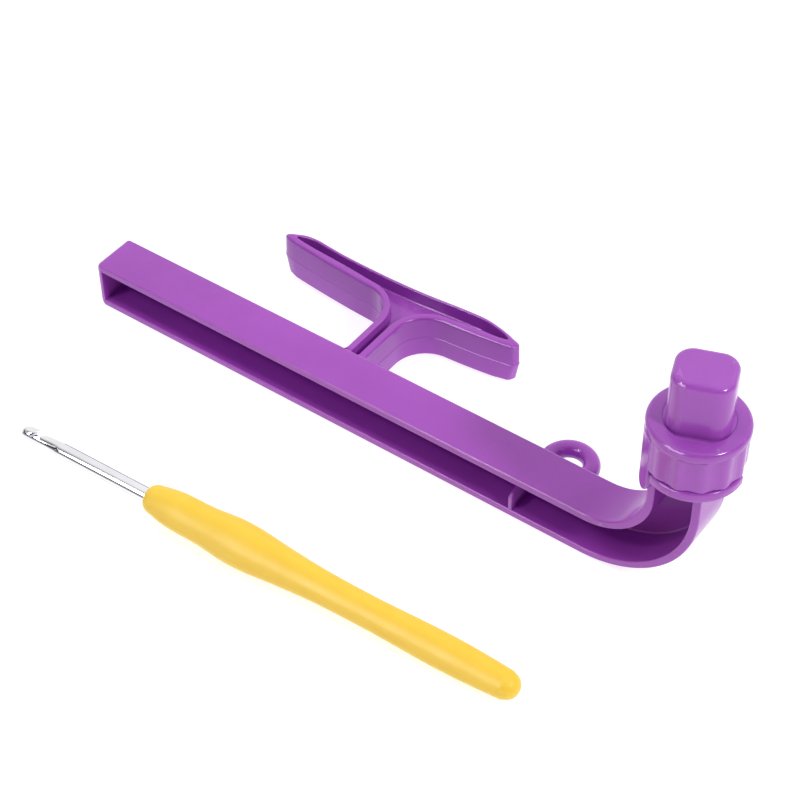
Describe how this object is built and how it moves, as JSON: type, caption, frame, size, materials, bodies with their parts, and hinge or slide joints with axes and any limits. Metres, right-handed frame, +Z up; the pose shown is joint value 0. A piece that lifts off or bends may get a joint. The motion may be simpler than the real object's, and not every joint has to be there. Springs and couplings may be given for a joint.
{
  "type": "knitting machine yarn arm and crochet hook",
  "caption": "Moulded channel arm with a T-shaped yarn rest, an eyelet and a turning plug head, and a loose soft-grip crochet hook.",
  "frame": {"origin": "on the arm's underside, at the middle of the channel's depth, in the plane through the middle of the yarn rest's stem", "axes": "+X along the arm towards the turning head, +Y from the open side of the channel towards the yarn rest, +Z up, along the head's turning axis"},
  "size_m": [0.1714, 0.0893, 0.0634],
  "materials": {
    "arm_plastic": "glossy purple injection moulding",
    "head_plastic": "glossy purple injection moulding",
    "axle_plastic": "natural low-friction plastic",
    "hook_metal": "polished",
    "core_plastic": "plain, hidden under the grip",
    "grip_rubber": "soft satin yellow"
  },
  "bodies": {
    "arm": {"arm_channel": "arm_plastic", "yarn_rest": "arm_plastic", "yarn_eyelet": "arm_plastic", "pivot_axle": "axle_plastic"},
    "turning_head": {"plug_head": "head_plastic", "grip_collar": "head_plastic"},
    "hook": {"hook_shaft": "hook_metal", "grip_core": "core_plastic", "soft_grip": "grip_rubber"}
  },
  "joints": [
    {"name": "head_turn", "type": "hinge", "parent": "arm", "child": "turning_head", "pos_m": [0.091, 0, 0.0386], "axis": [0, 0, 1], "range_deg": [-195, 4]},
    {"name": "hook_lift", "type": "slide", "parent": "arm", "child": "hook", "axis": [0, 0, 1], "range_m": [0, 0.06]}
  ]
}
